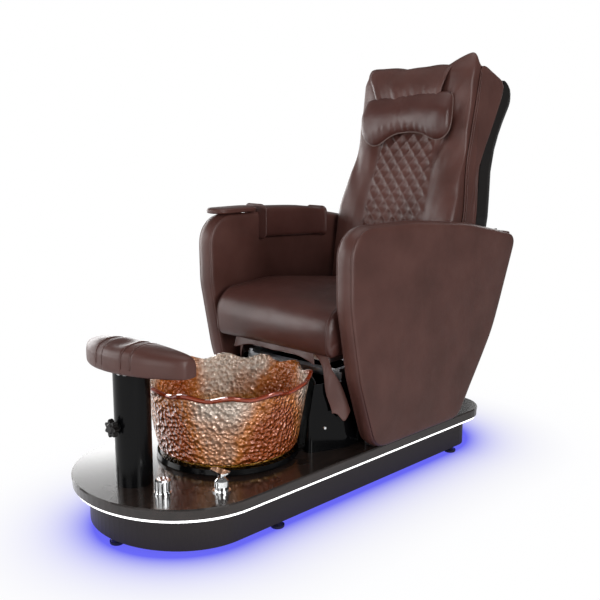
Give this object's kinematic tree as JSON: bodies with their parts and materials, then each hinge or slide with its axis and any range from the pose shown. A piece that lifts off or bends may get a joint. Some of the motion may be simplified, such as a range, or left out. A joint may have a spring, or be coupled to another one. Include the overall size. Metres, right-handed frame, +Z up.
{
  "type": "pedicure spa chair",
  "caption": "Pedicure spa chair: reclining massage seat between upholstered side panels on a lit deck with a glass foot basin, a lifting footrest and chrome taps.",
  "frame": {"origin": "on the floor under the middle of the whole chair", "axes": "+X to the sitter's left, +Y from the deck's front tip to the back, +Z up"},
  "size_m": [0.694, 1.734, 1.422],
  "materials": {
    "leather": "satin",
    "bronze_board": "satin",
    "black_gloss": "gloss",
    "black_metal": "satin",
    "dark_panel": "matte",
    "light_white": "gloss",
    "light_blue": "gloss",
    "steel": "satin",
    "rubber": "matte",
    "amber_glass": "gloss",
    "chrome": "polished",
    "grey_plastic": "matte",
    "hose": "satin",
    "dark_plastic": "matte",
    "roller": "satin"
  },
  "bodies": {
    "base": {"deck": "bronze_board", "edge_light_strip": "light_white", "skirt": "dark_panel", "base_frame": "steel", "underglow_tape": "light_blue", "levelling_feet": "rubber", "basin_ring": "black_gloss", "glass_basin": "amber_glass", "drain_strainer": "chrome", "drain_pipe": "grey_plastic", "discharge_pump": "dark_plastic", "supply_hoses": "hose", "water_inlets": "chrome", "power_inlet": "dark_plastic", "control_box": "dark_plastic", "seat_pedestal": "black_gloss", "pedestal_screws": "chrome", "seat_stand": "steel", "slide_rails": "steel", "slide_actuator_tube": "dark_plastic", "side_panel_left": "leather", "side_panel_right": "leather", "panel_brackets": "steel", "arm_pad": "leather", "arm_catches": "black_metal", "catch_tabs": "leather", "tray_post": "chrome", "footrest_post": "black_gloss", "post_flange": "black_metal", "clamp_boss": "black_metal", "mixer_base": "chrome", "diverter_base": "chrome"},
    "tray": {"arm_tray": "leather"},
    "footrest_column": {"footrest_tube": "chrome"},
    "footrest_head": {"footrest_plate": "steel", "footrest_cushion": "leather"},
    "clamp_knob": {"clamp_knob": "dark_plastic"},
    "mixer_cap": {"mixer_cap": "chrome"},
    "mixer_lever": {"mixer_lever": "chrome"},
    "diverter_knob": {"diverter_knob": "chrome"},
    "seat": {"seat_runners": "steel", "seat_frame": "steel", "slide_actuator_rod": "chrome", "seat_cushion": "leather", "seat_apron": "leather", "hinge_brackets": "steel", "hinge_pins": "chrome", "recline_actuator_tube": "dark_plastic"},
    "recline_rod": {"recline_actuator_rod": "chrome"},
    "back": {"back_frame": "steel", "massage_rails": "steel", "back_shell": "black_gloss", "back_side_walls": "leather", "back_cushion": "leather", "quilted_cover": "leather", "head_pillow": "leather", "pillow_strap": "leather"},
    "massage_carriage": {"massage_carriage": "dark_plastic", "massage_motor": "dark_plastic"},
    "massage_rollers": {"massage_rollers": "roller"}
  },
  "joints": [
    {"name": "tray_swing", "type": "hinge", "parent": "base", "child": "tray", "pos_m": [-0.299, -0.01499, 0.8735], "axis": [0, 0, 1], "range_deg": [0, 90]},
    {"name": "footrest_lift", "type": "slide", "parent": "base", "child": "footrest_column", "axis": [0, 0, 1], "range_m": [0, 0.1]},
    {"name": "footrest_turn", "type": "hinge", "parent": "footrest_column", "child": "footrest_head", "pos_m": [0, -0.72299, 0.4915], "axis": [0, 0, 1], "range_deg": [-51, 39]},
    {"name": "clamp_turn", "type": "hinge", "parent": "base", "child": "clamp_knob", "pos_m": [0, -0.78199, 0.34], "axis": [0, -1, 0], "range_deg": [0, 180]},
    {"name": "mixer_turn", "type": "hinge", "parent": "base", "child": "mixer_cap", "pos_m": [0.233, -0.59899, 0.19], "axis": [0, 0, 1], "range_deg": [-45, 45]},
    {"name": "mixer_lift", "type": "hinge", "parent": "mixer_cap", "child": "mixer_lever", "pos_m": [0.233, -0.59899, 0.2125], "axis": [0, 1, 0], "range_deg": [0, 20]},
    {"name": "diverter_turn", "type": "hinge", "parent": "base", "child": "diverter_knob", "pos_m": [0.126, -0.72099, 0.18], "axis": [0, 0, 1], "range_deg": [0, 90]},
    {"name": "seat_slide", "type": "slide", "parent": "base", "child": "seat", "axis": [0, -1, 0], "range_m": [0, 0.06]},
    {"name": "back_recline", "type": "hinge", "parent": "seat", "child": "back", "pos_m": [0, 0.48101, 0.5], "axis": [-1, 0, 0], "range_deg": [0, 30]},
    {"name": "recline_push", "type": "slide", "parent": "seat", "child": "recline_rod", "axis": [0, -1, 0], "range_m": [0, 0.053]},
    {"name": "massage_travel", "type": "slide", "parent": "back", "child": "massage_carriage", "axis": [0, 0.225, 0.9744], "range_m": [0, 0.45]},
    {"name": "roller_tilt", "type": "hinge", "parent": "massage_carriage", "child": "massage_rollers", "pos_m": [0, 0.53769, 0.69217], "axis": [1, 0, 0], "range_deg": [-12, 12]}
  ],
  "couplings": [
    {"joint": "recline_push", "follows": "back_recline", "m_per_rad": 0.1003}
  ]
}
